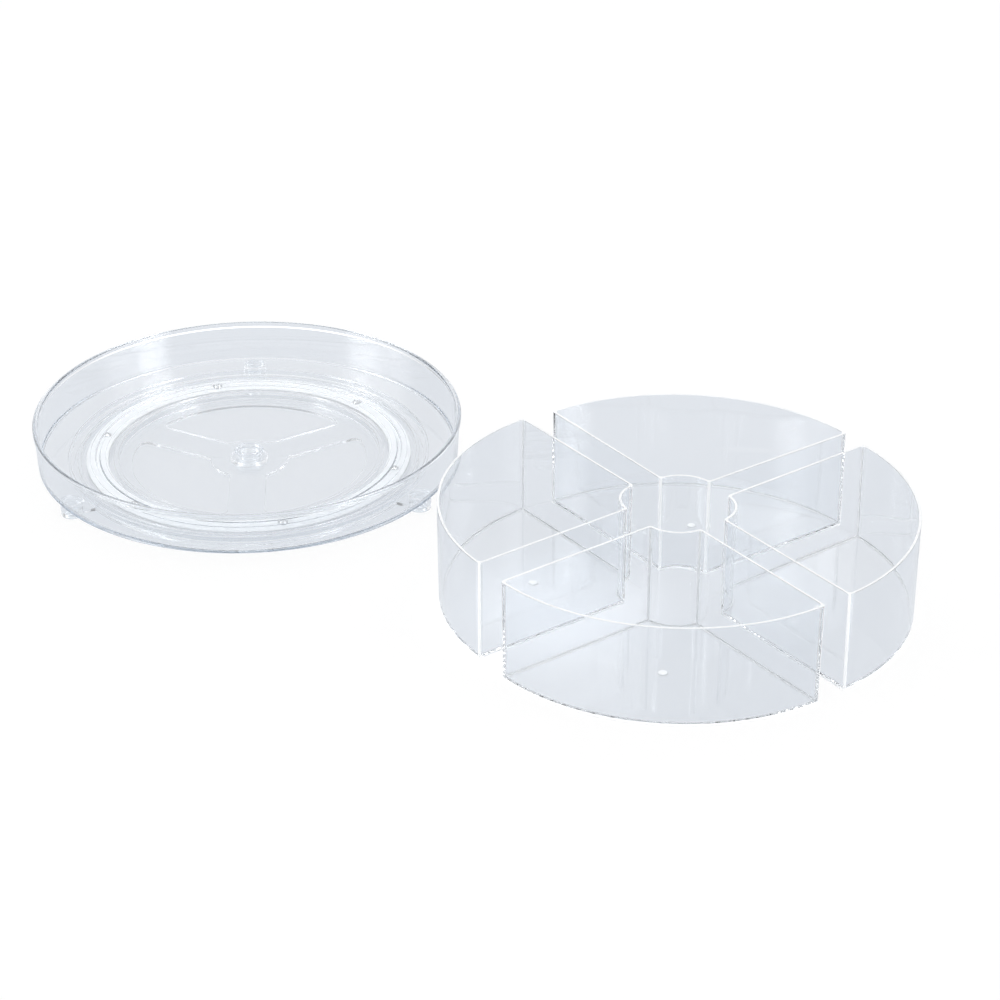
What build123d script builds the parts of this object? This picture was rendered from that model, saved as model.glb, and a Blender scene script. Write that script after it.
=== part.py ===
from build123d import *
from math import asin, atan, cos, degrees, radians, sin, sqrt
import os

# A clear turntable tray on a ball-bearing base, with four quarter-circle bins beside it.
# Sizes are in millimetres and angles in degrees. Z = 0 is the surface that all of it stands on.

os.makedirs("parts", exist_ok=True)

# Tray: one moulding with a flat floor, a leaning wall and a rounded bead for a rim
tray_radius = 150.0
rim_width = 3.2
rim_height = 3.6
rim_overhang = 0.9
tray_wall = 2.0
tray_floor = 2.2
tray_depth = 28.0
tray_lean = 1.5
tray_inner_fillet = 2.4
tray_outer_fillet = 1.2

# Bearing: balls in a flat cage, between a groove in the base and a groove under the tray
ball_count = 6
ball_radius = 3.175
ball_clearance = 0.12
groove_ease = 0.425
groove_depth = 0.6
race_width = 11.0
lower_race_rise = 1.1
upper_race_rise = 0.6
cage_width = 15.6
cage_beyond_balls = 8.2
cage_side_gap = 3.5
cage_thickness = 2.0
cage_edge = 0.4
pocket_clearance = 0.12
ball_turn = 46.1

# Base: a ring with two ribs, three arms with windows between them, and a hub
base_lift = 1.5
base_plate = 2.2
base_turn = 31.9
arm_count = 3
arm_width = 25.4
hub_radius = 27.0
window_land = 9.2
window_corner = 5.0
inner_rib_width = 3.6
outer_rib_width = 2.5
outer_rib_ledge = 3.2
rib_gap = 1.6
rib_edge = 0.7
hub_collar_wall = 4.4
hub_collar_rise = 2.4
hub_collar_edge = 0.8

# Posts: each carries a soft pad below and stops the loaded tray from tipping
post_radius = 8.0
post_inset = 1.8
post_gap = 0.6
post_edge = 0.8
ear_width = 15.0

# Soft pads, pushed into the posts from below
pad_inset = 0.6
pad_edge = 0.6
pad_stem_radius = 5.0
pad_stem_length = 4.6
pad_stem_clearance = 0.1
pad_end_clearance = 1.2

# Skirt under the tray, outside the base's ring
skirt_clearance = 1.6
skirt_wall = 1.8
skirt_to_posts = 2.8
skirt_to_ears = 3.3

# Pivot: the tray's spigot turns in the hub, and a rivet holds it there
spigot_radius = 8.9
spigot_running_fit = 0.08
spigot_root = 1.6
spigot_bore = 5.0
rivet_grip = 3.7
rivet_head_thickness = 1.1
rivet_recess_clearance = 0.4
rivet_play = 0.15
rivet_press_fit = 0.02
rivet_shank = 5.2
rivet_edge = 0.4

# Bins: a quarter of a round set each, with a round notch at the inner corner
bin_fit = 2.4
bin_height = 70.8
bin_wall = 1.8
bin_floor = 2.0
bin_half_gap = 0.75
bin_notch = 23.4
bin_draft = 0.8
bin_corner = 2.6
bin_notch_corner = 2.8
bin_floor_fillet = 1.5
bin_foot_fillet = 0.9
bin_rim_fillet = 0.4
gate_circle = 82.0
gate_dimple_radius = 3.4
gate_dimple_depth = 0.9
gate_nub_radius = 1.1
gate_nub_height = 0.5

# Layout on the table: the ring of bins stands to the right of the tray and nearer to the front
clear_between = 39.8
ring_bearing = -32.7
ring_spread = 14.0
ring_turn = -8.7

# How far each bin stands from its even place in the ring, and how much further it is turned
bin_nudges = {
    "bin_right": (-1.5, -1.8, 0.3),
    "bin_back": (0.4, -0.5, -0.9),
    "bin_left": (0.3, 3.4, 0.0),
    "bin_front": (0.8, -1.2, 0.0),
}

# Heights above the table, from the pads up
base_top = base_lift + base_plate
lower_groove_bottom = base_top + lower_race_rise - groove_depth
ball_height = lower_groove_bottom + ball_clearance + ball_radius
upper_groove_top = ball_height + ball_radius + ball_clearance
tray_under = upper_groove_top + upper_race_rise - groove_depth
floor_top = tray_under + tray_floor
rim_top = floor_top + tray_depth
rib_top = tray_under - rib_gap
post_top = tray_under - post_gap
collar_top = base_top + hub_collar_rise
skirt_bottom = base_top + skirt_to_ears
recess_depth = rivet_head_thickness + 2 * rivet_play
spigot_end = base_lift + recess_depth - rivet_play

# Radii from the rim in to the arms' windows
wall_top_outer = tray_radius - rim_overhang
wall_bottom_outer = wall_top_outer - tray_lean
wall_inner_top = wall_top_outer - tray_wall
wall_inner_bottom = wall_bottom_outer - tray_wall
bin_radius = wall_inner_bottom - bin_fit
post_circle = wall_bottom_outer - post_inset - post_radius
skirt_outer = post_circle - post_radius - skirt_to_posts
skirt_inner = skirt_outer - skirt_wall
base_radius = skirt_inner - skirt_clearance
outer_rib_outer = base_radius - outer_rib_ledge
outer_rib_inner = outer_rib_outer - outer_rib_width
cage_outer = outer_rib_inner - cage_side_gap
cage_inner = cage_outer - cage_width
ball_circle = cage_outer - cage_beyond_balls
inner_rib_outer = cage_inner - cage_side_gap
inner_rib_inner = inner_rib_outer - inner_rib_width
window_outer = inner_rib_inner - window_land

# Radii that follow from the fits
groove_radius = ball_radius + groove_ease
pocket_radius = ball_radius + pocket_clearance
hub_bore = spigot_radius + spigot_running_fit
hub_collar_radius = hub_bore + hub_collar_wall
rivet_head_radius = hub_bore + rivet_grip
recess_radius = rivet_head_radius + rivet_recess_clearance
pad_radius = post_radius - pad_inset
post_bore = pad_stem_radius + pad_stem_clearance
selection_tolerance = 0.01

# Where the tray and the ring of bins stand about each other
ring_distance = tray_radius + clear_between + ring_spread + bin_radius
ring_x = ring_distance * cos(radians(ring_bearing))
ring_y = ring_distance * sin(radians(ring_bearing))
bin_bearings = {"bin_right": 0.0, "bin_back": 90.0, "bin_left": 180.0, "bin_front": 270.0}


def bin_place(name):
    """Returns where a bin's corner point stands from the tray's axis, and which way the bin faces."""
    nudge_x, nudge_y, nudge_turn = bin_nudges[name]
    facing = bin_bearings[name] + ring_turn
    x = ring_x + ring_spread * cos(radians(facing)) + nudge_x
    y = ring_y + ring_spread * sin(radians(facing)) + nudge_y
    return x, y, facing + nudge_turn


def quarter_outline(outer, inner, half_gap, corner, notch_corner):
    """Draws a quarter ring about the local origin, facing +X, with its corners rounded."""
    outer_reach = sqrt(outer**2 - half_gap**2)
    inner_reach = sqrt(inner**2 - half_gap**2)
    side = Vector(1, 1).normalized()
    inward = Vector(1, -1).normalized()
    far = side * outer_reach + inward * half_gap
    near = side * inner_reach + inward * half_gap
    with BuildSketch() as outline:
        with BuildLine():
            Line((near.X, near.Y), (far.X, far.Y))
            ThreePointArc((far.X, far.Y), (outer, 0), (far.X, -far.Y))
            Line((far.X, -far.Y), (near.X, -near.Y))
            ThreePointArc((near.X, -near.Y), (inner, 0), (near.X, near.Y))
        make_face()
        outside = outline.vertices().group_by(Axis.X)[-1]
        fillet(outside, corner)
        inside = outline.vertices().sort_by(lambda v: Vector(v.X, v.Y).length)[0:2]
        fillet(inside, notch_corner)
    return outline.sketch


# The layout's outline, seen from above, which sets the origin at the middle of its box
bin_rim = quarter_outline(bin_radius, bin_notch, bin_half_gap, bin_corner, bin_notch_corner)
with BuildSketch() as footprint:
    Circle(tray_radius)
    for name in bin_bearings:
        x, y, facing = bin_place(name)
        add(bin_rim.moved(Location((x, y, 0), (0, 0, facing))))
layout_middle = footprint.sketch.bounding_box().center()
tray_x = -layout_middle.X
tray_y = -layout_middle.Y
section_plane = Plane(origin=(tray_x, tray_y, 0), x_dir=(1, 0, 0), z_dir=(0, -1, 0))
turn_axis = Axis((tray_x, tray_y, 0), (0, 0, 1))
print("tray axis at", round(tray_x, 3), round(tray_y, 3))


def level(height):
    """Returns the plane square to the tray's axis at a height above the table."""
    return Plane((tray_x, tray_y, height))


def corner_at(sketch, across, up):
    """Returns the corner of a sketch that lies nearest to a point of its plane."""
    return sketch.vertices().sort_by(lambda v: abs(v.X - across) + abs(v.Y - up))[0]


# Tray: floor, leaning wall and bead in one section, then what hangs below the floor
rim_middle = rim_top - rim_width / 2
rim_inner = tray_radius - rim_width
bead_bottom = rim_top - rim_height
with BuildPart() as tray:
    with BuildSketch(section_plane) as wall_section:
        with BuildLine():
            Polyline(
                (0, tray_under),
                (wall_bottom_outer, tray_under),
                (wall_top_outer, bead_bottom - rim_overhang),
                (tray_radius, bead_bottom),
                (tray_radius, rim_middle),
            )
            ThreePointArc(
                (tray_radius, rim_middle), (tray_radius - rim_width / 2, rim_top), (rim_inner, rim_middle)
            )
            Polyline(
                (rim_inner, rim_middle),
                (rim_inner, bead_bottom),
                (wall_inner_top, bead_bottom - rim_overhang),
                (wall_inner_bottom, floor_top),
                (0, floor_top),
                (0, tray_under),
            )
        make_face()
        fillet(corner_at(wall_section, wall_inner_bottom, floor_top), tray_inner_fillet)
        fillet(corner_at(wall_section, wall_bottom_outer, tray_under), tray_outer_fillet)
    revolve(axis=turn_axis)
    # Upper race: a low ring with a groove for the balls
    with BuildSketch(level(tray_under)):
        Circle(ball_circle + race_width / 2)
        Circle(ball_circle - race_width / 2, mode=Mode.SUBTRACT)
    extrude(amount=-upper_race_rise)
    # Guard skirt outside the base's ring
    with BuildSketch(level(tray_under)):
        Circle(skirt_outer)
        Circle(skirt_inner, mode=Mode.SUBTRACT)
    extrude(amount=skirt_bottom - tray_under)
    # Spigot, flared where it meets the floor
    with BuildSketch(level(tray_under)):
        Circle(spigot_radius)
    extrude(amount=spigot_end - tray_under)
    spigot_foot = tray.edges().filter_by(GeomType.CIRCLE)
    spigot_foot = spigot_foot.filter_by(lambda e: abs(e.radius - spigot_radius) < selection_tolerance)
    fillet(spigot_foot.sort_by(Axis.Z)[-1], spigot_root)
    with BuildSketch(level(spigot_end)):
        Circle(spigot_bore)
    extrude(amount=rivet_shank + rivet_edge, mode=Mode.SUBTRACT)
    # Groove in the upper race, rolled by the balls
    with BuildSketch(section_plane):
        with Locations((ball_circle, upper_groove_top - groove_radius)):
            Circle(groove_radius)
    revolve(axis=turn_axis, mode=Mode.SUBTRACT)
tray.part.label = "tray"
export_step(tray.part, "parts/tray.step")

# Base: plate, windows, ribs, race, hub and posts
arm_spacing = 360 / arm_count
post_bearings = [base_turn + arm_spacing * (i + 0.5) for i in range(arm_count)]
side_angle_inner = degrees(asin(arm_width / 2 / hub_radius))
side_angle_outer = degrees(asin(arm_width / 2 / window_outer))


def window_outline():
    """Draws one window about the local origin, facing +X, with sides square to the arms' width."""
    inner = Vector(hub_radius, 0).rotate(Axis.Z, arm_spacing / 2 - side_angle_inner)
    outer = Vector(window_outer, 0).rotate(Axis.Z, arm_spacing / 2 - side_angle_outer)
    with BuildSketch() as outline:
        with BuildLine():
            Line((inner.X, inner.Y), (outer.X, outer.Y))
            ThreePointArc((outer.X, outer.Y), (window_outer, 0), (outer.X, -outer.Y))
            Line((outer.X, -outer.Y), (inner.X, -inner.Y))
            ThreePointArc((inner.X, -inner.Y), (hub_radius, 0), (inner.X, inner.Y))
        make_face()
        fillet(outline.vertices(), window_corner)
    return outline.sketch


window = window_outline()
with BuildPart() as base:
    # Round body in one section: plate, two ribs, race and hub collar, less the groove and the hub's bore
    with BuildSketch(section_plane) as round_section:
        with Locations((0, base_lift)):
            Rectangle(base_radius, base_plate, align=(Align.MIN, Align.MIN))
            Rectangle(hub_collar_radius, collar_top - base_lift, align=(Align.MIN, Align.MIN))
        for rib_in, rib_out in ((inner_rib_inner, inner_rib_outer), (outer_rib_inner, outer_rib_outer)):
            with Locations((rib_in, base_lift)):
                Rectangle(rib_out - rib_in, rib_top - base_lift, align=(Align.MIN, Align.MIN))
        fillet(round_section.vertices().group_by(Axis.Y)[-1], rib_edge)
        fillet(corner_at(round_section, hub_collar_radius, collar_top), hub_collar_edge)
        with Locations((ball_circle, base_top)):
            Rectangle(race_width, lower_race_rise, align=(Align.CENTER, Align.MIN))
        with Locations((ball_circle, lower_groove_bottom + groove_radius)):
            Circle(groove_radius, mode=Mode.SUBTRACT)
        with Locations((0, base_lift)):
            Rectangle(hub_bore, collar_top - base_lift, align=(Align.MIN, Align.MIN), mode=Mode.SUBTRACT)
            Rectangle(recess_radius, recess_depth, align=(Align.MIN, Align.MIN), mode=Mode.SUBTRACT)
    revolve(axis=turn_axis)
    # Windows between the arms
    with BuildSketch(level(base_lift)):
        for bearing in post_bearings:
            add(window.moved(Location((0, 0, 0), (0, 0, bearing))))
    extrude(amount=base_plate, mode=Mode.SUBTRACT)
    # Ears from the ring out to the posts
    with BuildSketch(level(base_lift)):
        for bearing in post_bearings:
            with PolarLocations((outer_rib_inner + post_circle) / 2, 1, start_angle=bearing):
                Rectangle(post_circle - outer_rib_inner, ear_width)
    extrude(amount=base_plate)
    # Posts, each with a rounded top and a blind socket from below
    for bearing in post_bearings:
        post_x = tray_x + post_circle * cos(radians(bearing))
        post_y = tray_y + post_circle * sin(radians(bearing))
        post_plane = Plane(origin=(post_x, post_y, 0), x_dir=(1, 0, 0), z_dir=(0, -1, 0))
        with BuildSketch(post_plane) as post_section:
            with Locations((0, base_lift)):
                Rectangle(post_radius, post_top - base_lift, align=(Align.MIN, Align.MIN))
            fillet(corner_at(post_section, post_radius, post_top), post_edge)
        revolve(axis=Axis((post_x, post_y, 0), (0, 0, 1)))
        with BuildSketch(Plane((post_x, post_y, base_lift))):
            Circle(post_bore)
        extrude(amount=pad_stem_length + pad_end_clearance, mode=Mode.SUBTRACT)
base.part.label = "base"
export_step(base.part, "parts/base.step")

# Soft pads: a flat head under each post and a stem inside it
for number, bearing in enumerate(post_bearings, start=1):
    with BuildPart() as foot_pad:
        with BuildSketch(level(0)):
            with PolarLocations(post_circle, 1, start_angle=bearing):
                Circle(pad_radius)
        extrude(amount=base_lift)
        fillet(foot_pad.edges().group_by(Axis.Z)[0], pad_edge)
        with BuildSketch(level(base_lift)):
            with PolarLocations(post_circle, 1, start_angle=bearing):
                Circle(pad_stem_radius)
        extrude(amount=pad_stem_length)
        fillet(foot_pad.edges().group_by(Axis.Z)[-1], pad_edge)
    foot_pad.part.label = f"foot_pad_{number}"
    export_step(foot_pad.part, f"parts/foot_pad_{number}.step")

# Rivet: its head turns in the hub's recess, its shank is pressed into the spigot
with BuildPart() as pivot_rivet:
    with BuildSketch(level(spigot_end)):
        Circle(rivet_head_radius)
    extrude(amount=-rivet_head_thickness)
    fillet(pivot_rivet.edges().group_by(Axis.Z)[0], rivet_edge)
    with BuildSketch(level(spigot_end)):
        Circle(spigot_bore - rivet_press_fit)
    extrude(amount=rivet_shank)
    chamfer(pivot_rivet.edges().group_by(Axis.Z)[-1], rivet_edge)
pivot_rivet.part.label = "pivot_rivet"
export_step(pivot_rivet.part, "parts/pivot_rivet.step")

# Cage: a flat ring with a round pocket for each ball
with BuildPart() as ball_cage:
    with BuildSketch(level(ball_height - cage_thickness / 2)):
        Circle(cage_outer)
        Circle(cage_inner, mode=Mode.SUBTRACT)
    extrude(amount=cage_thickness)
    fillet(ball_cage.edges(), cage_edge)
    with BuildSketch(level(ball_height - cage_thickness / 2)):
        with PolarLocations(ball_circle, ball_count, start_angle=ball_turn):
            Circle(pocket_radius)
    extrude(amount=cage_thickness, mode=Mode.SUBTRACT)
ball_cage.part.label = "ball_cage"
export_step(ball_cage.part, "parts/ball_cage.step")

# Balls: one in each pocket
for number in range(1, ball_count + 1):
    bearing = radians(ball_turn + (number - 1) * 360 / ball_count)
    ball_x = tray_x + ball_circle * cos(bearing)
    ball_y = tray_y + ball_circle * sin(bearing)
    with BuildPart() as ball:
        with Locations((ball_x, ball_y, ball_height)):
            Sphere(ball_radius)
    ball.part.label = f"ball_{number}"
    export_step(ball.part, f"parts/ball_{number}.step")

# Bins: walls that draw in towards the table, hollowed from the rim down
draft_angle = degrees(atan(bin_draft / bin_height))
dimple_curve = (gate_dimple_radius**2 + gate_dimple_depth**2) / (2 * gate_dimple_depth)
bin_hollow = quarter_outline(
    bin_radius - bin_wall, bin_notch + bin_wall, bin_half_gap + bin_wall, bin_corner, bin_notch_corner
)
for name in bin_bearings:
    x, y, facing = bin_place(name)
    table = Plane(origin=(tray_x + x, tray_y + y, 0), x_dir=(cos(radians(facing)), sin(radians(facing)), 0))
    with BuildPart() as quarter_bin:
        with BuildSketch(table.offset(bin_height)):
            add(bin_rim)
        extrude(amount=-bin_height, taper=draft_angle)
        fillet(quarter_bin.edges().group_by(Axis.Z)[0], bin_foot_fillet)
        with BuildSketch(table.offset(bin_height)):
            add(bin_hollow)
        extrude(amount=bin_floor - bin_height, taper=draft_angle, mode=Mode.SUBTRACT)
        low, high = bin_floor - selection_tolerance, bin_floor + selection_tolerance
        fillet(quarter_bin.edges().filter_by_position(Axis.Z, low, high), bin_floor_fillet)
        fillet(quarter_bin.edges().group_by(Axis.Z)[-1], bin_rim_fillet)
        # Gate mark under the floor: a round dimple with a nub in its middle
        with Locations(table):
            with Locations((gate_circle, 0, gate_dimple_depth - dimple_curve)):
                Sphere(dimple_curve, mode=Mode.SUBTRACT)
        with BuildSketch(table.offset(gate_dimple_depth)):
            with Locations((gate_circle, 0)):
                Circle(gate_nub_radius)
        extrude(amount=-gate_nub_height)
    quarter_bin.part.label = name
    export_step(quarter_bin.part, f"parts/{name}.step")
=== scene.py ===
import logging
import math
from collections.abc import Callable
from dataclasses import dataclass, replace
from enum import Enum

import bmesh
import bpy
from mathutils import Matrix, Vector


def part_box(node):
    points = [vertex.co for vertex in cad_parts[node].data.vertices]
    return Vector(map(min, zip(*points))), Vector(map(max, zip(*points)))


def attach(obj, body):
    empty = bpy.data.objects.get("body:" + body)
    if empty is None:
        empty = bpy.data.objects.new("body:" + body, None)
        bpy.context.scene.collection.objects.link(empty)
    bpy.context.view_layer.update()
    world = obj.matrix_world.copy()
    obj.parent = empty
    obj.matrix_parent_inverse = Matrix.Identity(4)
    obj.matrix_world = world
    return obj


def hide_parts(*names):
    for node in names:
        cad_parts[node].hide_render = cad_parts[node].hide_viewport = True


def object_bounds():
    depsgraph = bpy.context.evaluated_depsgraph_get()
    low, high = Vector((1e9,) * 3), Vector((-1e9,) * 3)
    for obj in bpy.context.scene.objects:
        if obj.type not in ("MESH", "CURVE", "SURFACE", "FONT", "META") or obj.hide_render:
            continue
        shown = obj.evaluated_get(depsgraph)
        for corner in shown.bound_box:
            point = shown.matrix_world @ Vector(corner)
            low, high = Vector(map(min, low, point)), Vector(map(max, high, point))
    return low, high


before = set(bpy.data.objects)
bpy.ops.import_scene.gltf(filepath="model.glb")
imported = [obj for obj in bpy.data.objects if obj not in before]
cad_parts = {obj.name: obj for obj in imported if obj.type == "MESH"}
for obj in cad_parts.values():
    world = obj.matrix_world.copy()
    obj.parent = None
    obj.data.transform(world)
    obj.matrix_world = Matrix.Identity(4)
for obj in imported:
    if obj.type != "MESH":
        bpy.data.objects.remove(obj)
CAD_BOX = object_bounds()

# A clear turntable tray on its ball bearing, with four clear quarter-circle bins beside it.
# Sizes are in millimetres and angles in degrees. Vectors, the camera and the studio are in metres.

log = logging.getLogger("turntable")
MM = 0.001
SHARP_FROM = 35.0
MERGED_WITHIN = 0.001
CUT_PAST = 1.0
WHITE = (1.0, 1.0, 1.0, 1.0)
FINE_DETAIL = 3.0
SMOOTH = {"interpolation_type": "SMOOTHSTEP"}
COLOUR_OUTPUT = 2
BOUNCES = 64
# The steps that a round is drawn in, from a broken edge to the tray's bead
EDGE_STEPS = 3
TIP_STEPS = 4
HEAD_STEPS = 5
ROUND_STEPS = 6
CURVE_STEPS = 8
GROOVE_STEPS = 10
BEAD_STEPS = 16
Points = list[tuple[float, float]]
Signal = bpy.types.Node | bpy.types.NodeSocket


class Slot(Enum):
    """Names of the record's material slots; nothing here gives them to the pieces."""

    TRAY = "clear_tray"
    BASE = "clear_base"
    BIN = "clear_bin"
    PAD = "soft_pad"


class Join(Enum):
    """How a shape works on the piece that it meets."""

    ADD = "UNION"
    CUT = "DIFFERENCE"


def linear(hex_colour: str) -> tuple[float, float, float, float]:
    """Turns an sRGB hex colour into the linear colour that shaders take.

    Args:
        hex_colour: Six hex digits after a hash sign.

    Returns:
        Red, green, blue and an alpha of 1.
    """
    parts = [int(hex_colour[i : i + 2], 16) / 255 for i in (1, 3, 5)]
    red, green, blue = (c / 12.92 if c <= 0.04045 else ((c + 0.055) / 1.055) ** 2.4 for c in parts)
    return (red, green, blue, 1.0)


class Shader:
    """A node tree that is built up one node at a time. A node stands for its first output."""

    def __init__(self, tree: bpy.types.NodeTree) -> None:
        """Empties a tree.

        Args:
            tree: A material's or a world's node tree.
        """
        self.tree = tree
        self.tree.nodes.clear()

    def add(self, kind: str, *values: object, **named: object) -> bpy.types.Node:
        """Adds a node with its settings and its inputs.

        Args:
            kind: The node's type without its ShaderNode prefix, such as Bump.
            values: Its first inputs, in order.
            named: Its settings, in small letters, and other inputs, with capitals and underscores.

        Returns:
            The new node.
        """
        node = self.tree.nodes.new("ShaderNode" + kind)
        for key, value in named.items():
            if key.islower():
                setattr(node, key, value)
        sockets = {socket.identifier.replace(" ", "_"): socket for socket in node.inputs}
        inputs = {key: value for key, value in named.items() if not key.islower()}
        for key, value in (dict(zip(sockets, values)) | inputs).items():
            self.put(value, sockets[key])
        return node

    def put(self, value: object, socket: bpy.types.NodeSocket) -> None:
        """Links a node or a socket into an input, or sets the input's value.

        Args:
            value: The node, the socket or the value.
            socket: The input.
        """
        if isinstance(value, bpy.types.Node):
            value = value.outputs[0]
        if isinstance(value, bpy.types.NodeSocket):
            self.tree.links.new(value, socket)
        else:
            socket.default_value = value

    def surface(
        self, body: bpy.types.Node, shadow_pass: str | None = None, depth: bpy.types.Node | None = None
    ) -> None:
        """Ends a tree in the material's surface.

        Args:
            body: The last shader node.
            shadow_pass: What passes through it to what lies in its shadow, for a clear plastic.
            depth: The node for what is inside, for a plastic that swallows light over a long way.
        """
        if shadow_pass is not None:
            clear = self.add("BsdfTransparent", Color=linear(shadow_pass))
            rays = self.add("LightPath").outputs
            body = self.add("MixShader", rays["Is Shadow Ray"], body, clear)
        output = self.add("OutputMaterial", body)
        if depth is not None:
            self.put(depth, output.inputs["Volume"])


def new_material(name: str) -> tuple[bpy.types.Material, Shader]:
    """Makes an empty node material.

    Args:
        name: The material's name.

    Returns:
        The material and its shader.
    """
    material = bpy.data.materials.new(name)
    material.use_nodes = True
    return material, Shader(material.node_tree)


@dataclass(frozen=True)
class ClearMoulding:
    """Polystyrene, injection moulded against polished steel: clear as glass, with faint flow waves.

    The waves bend what is seen through a wall by a little, so that long straight edges look moulded and
    not ground. Draw lines, where the mould slid off, break the softboxes' reflections into fine upright
    streaks: they are hairlines, drawn wide enough to show. What is frosted, such as a rim that the
    mould's halves close on, shows as a white line. A plastic that swallows a little of the light that
    runs along inside its walls has a slate-grey rim.
    """

    name: str
    through_wall: str = "#FBFCFD"
    ior: float = 1.55
    wave: float = 38.0
    wave_depth: float = 0.02
    line: float = 2.6
    line_length: float = 33.0
    line_depth: float = 0.0
    line_from: float = 3.0
    line_full: float = 10.0
    frost_roughness: float = 0.3
    frost_rough_from: float = 0.2
    shadow_pass: str = "#F4F6F8"
    along_wall: str = "#B2C0CE"
    swallowing: float = 0.0

    def make(self, frost: Callable[[Shader], Signal] | None = None) -> bpy.types.Material:
        """Makes the material.

        Args:
            frost: Adds the share of frost to the shader and returns it, where there is any.

        Returns:
            The material.
        """
        material, shader = new_material(self.name)
        here = shader.add("TexCoord").outputs["Object"]
        waves = shader.add("TexNoise", here, Scale=1 / (self.wave * MM))
        normal = shader.add("Bump", Height=waves, Distance=self.wave_depth * MM)
        if self.line_depth:
            up = shader.add("SeparateXYZ", here).outputs["Z"]
            drawn = shader.add("MapRange", up, self.line_from * MM, self.line_full * MM, **SMOOTH)
            upright = shader.add("Mapping", here, Scale=(1.0, 1.0, 1.0 / self.line_length))
            lines = shader.add("TexNoise", upright, Scale=1 / (self.line * MM), Detail=FINE_DETAIL)
            lines = shader.add("Math", lines, drawn, operation="MULTIPLY")
            normal = shader.add("Bump", Height=lines, Distance=self.line_depth * MM, Normal=normal)
        plastic = shader.add(
            "BsdfPrincipled",
            Base_Color=linear(self.through_wall),
            Roughness=0.0,
            IOR=self.ior,
            Transmission_Weight=1.0,
            Normal=normal,
        )
        if frost is not None:
            share = frost(shader)
            clear = shader.add("Math", 1.0, share, operation="SUBTRACT")
            shader.put(clear, plastic.inputs["Transmission Weight"])
            rough = shader.add("MapRange", share, 0.0, self.frost_rough_from, **SMOOTH)
            rough = shader.add("Math", rough, self.frost_roughness, operation="MULTIPLY")
            shader.put(rough, plastic.inputs["Roughness"])
        depth = None
        if self.swallowing:
            depth = shader.add("VolumeAbsorption", Color=linear(self.along_wall), Density=self.swallowing)
        shader.surface(plastic, self.shadow_pass, depth)
        return material


@dataclass(frozen=True)
class WhiteAcetal:
    """Acetal, moulded white: dense and slightly waxy, its faint uneven gloss drawn coarse enough to show."""

    name: str = "white_acetal_moulding"
    colour: str = "#F8F9FA"
    roughness: float = 0.38
    ior: float = 1.48
    grain: float = 1.6
    grain_depth: float = 0.003

    def make(self) -> bpy.types.Material:
        """Makes the material.

        Returns:
            The material.
        """
        material, shader = new_material(self.name)
        here = shader.add("TexCoord").outputs["Object"]
        grain = shader.add("TexNoise", here, Scale=1 / (self.grain * MM), Detail=FINE_DETAIL)
        acetal = shader.add(
            "BsdfPrincipled",
            Base_Color=linear(self.colour),
            Roughness=self.roughness,
            IOR=self.ior,
            Normal=shader.add("Bump", Height=grain, Distance=self.grain_depth * MM),
        )
        shader.surface(acetal)
        return material


@dataclass(frozen=True)
class BearingSteel:
    """Chrome steel, ground and polished: a mirror, its haze from rolling drawn coarse enough to show."""

    name: str = "polished_bearing_steel"
    colour: str = "#D4D5D7"
    least_roughness: float = 0.048
    most_roughness: float = 0.128
    haze: float = 1.1

    def make(self) -> bpy.types.Material:
        """Makes the material.

        Returns:
            The material.
        """
        material, shader = new_material(self.name)
        here = shader.add("TexCoord").outputs["Object"]
        haze = shader.add("TexNoise", here, Scale=1 / (self.haze * MM))
        ends = {"To_Min": self.least_roughness, "To_Max": self.most_roughness}
        rough = shader.add("MapRange", haze, **ends)
        steel = shader.add("BsdfPrincipled", Base_Color=linear(self.colour), Metallic=1.0, Roughness=rough)
        shader.surface(steel)
        return material


@dataclass(frozen=True)
class SoftVinyl:
    """Soft clear vinyl, moulded: a little cloudy at its skin, so it reads as a soft disc under a post."""

    name: str = "soft_clear_vinyl"
    through_wall: str = "#F6F8FA"
    roughness: float = 0.12
    ior: float = 1.53
    skin: float = 1.4
    skin_depth: float = 0.008
    shadow_pass: str = "#EEF1F4"

    def make(self) -> bpy.types.Material:
        """Makes the material.

        Returns:
            The material.
        """
        material, shader = new_material(self.name)
        here = shader.add("TexCoord").outputs["Object"]
        skin = shader.add("TexNoise", here, Scale=1 / (self.skin * MM), Detail=FINE_DETAIL)
        vinyl = shader.add(
            "BsdfPrincipled",
            Base_Color=linear(self.through_wall),
            Roughness=self.roughness,
            IOR=self.ior,
            Transmission_Weight=1.0,
            Normal=shader.add("Bump", Height=skin, Distance=self.skin_depth * MM),
        )
        shader.surface(vinyl, self.shadow_pass)
        return material


@dataclass
class Photographer:
    """The camera, as the photograph was taken: a long lens, looking down at the table.

    Its place and how far it sees are in metres.
    """

    tray_axis: Vector
    aside: float = 0.16621
    back: float = 1.98594
    height: float = 1.05649
    pitch: float = 28.67
    turn: float = -0.321
    lens: float = 114.265
    sensor: float = 36.0
    sees_to: float = 50.0

    def place(self) -> None:
        """Adds the camera and makes it the scene's."""
        data = bpy.data.cameras.new("camera")
        data.sensor_width = self.sensor
        data.lens = self.lens
        data.clip_end = self.sees_to
        camera = bpy.data.objects.new("camera", data)
        camera.location = (self.tray_axis.x + self.aside, self.tray_axis.y - self.back, self.height)
        camera.rotation_euler = (math.radians(90 - self.pitch), 0.0, math.radians(self.turn))
        bpy.context.scene.collection.objects.link(camera)
        bpy.context.scene.camera = camera


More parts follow.
